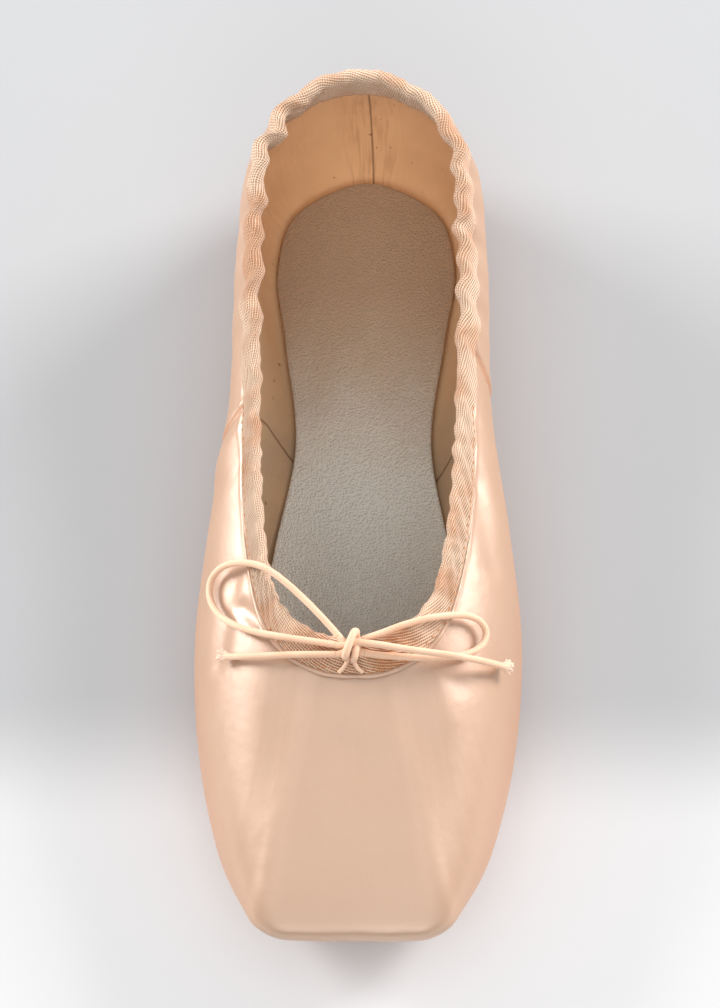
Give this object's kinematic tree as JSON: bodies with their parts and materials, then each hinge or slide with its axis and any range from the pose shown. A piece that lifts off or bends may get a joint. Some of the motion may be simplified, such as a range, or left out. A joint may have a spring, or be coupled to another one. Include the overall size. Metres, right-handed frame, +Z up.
{
  "type": "pointe shoe",
  "caption": "Satin pointe shoe on a straight last with a stiff flat-tipped box, open topline with taped edge, drawstring bow, insole and leather outsole.",
  "frame": {"origin": "on the floor, under the middle of the shoe's length and width", "axes": "+Y towards the heel, the toe points along -Y, +Z up from the floor, +X across the shoe"},
  "size_m": [0.0846, 0.2301, 0.0599],
  "materials": {
    "satin": "peach cotton-backed satin with a soft lengthwise gloss",
    "lining": "tan cotton canvas",
    "cotton_tape": "ivory-peach herringbone cotton tape",
    "insole_nubuck": "grey-beige napped board",
    "outsole_leather": "buffed natural leather",
    "elastic": "braided elastic cord",
    "thread": "waxed cotton thread"
  },
  "bodies": {
    "root": {"upper": "satin", "outsole": "outsole_leather", "insole": "insole_nubuck", "binding": "cotton_tape", "drawstring_knot": "elastic", "drawstring_loop_left": "elastic", "drawstring_loop_right": "elastic", "drawstring_tail_left": "elastic", "drawstring_tail_right": "elastic"}
  },
  "joints": []
}
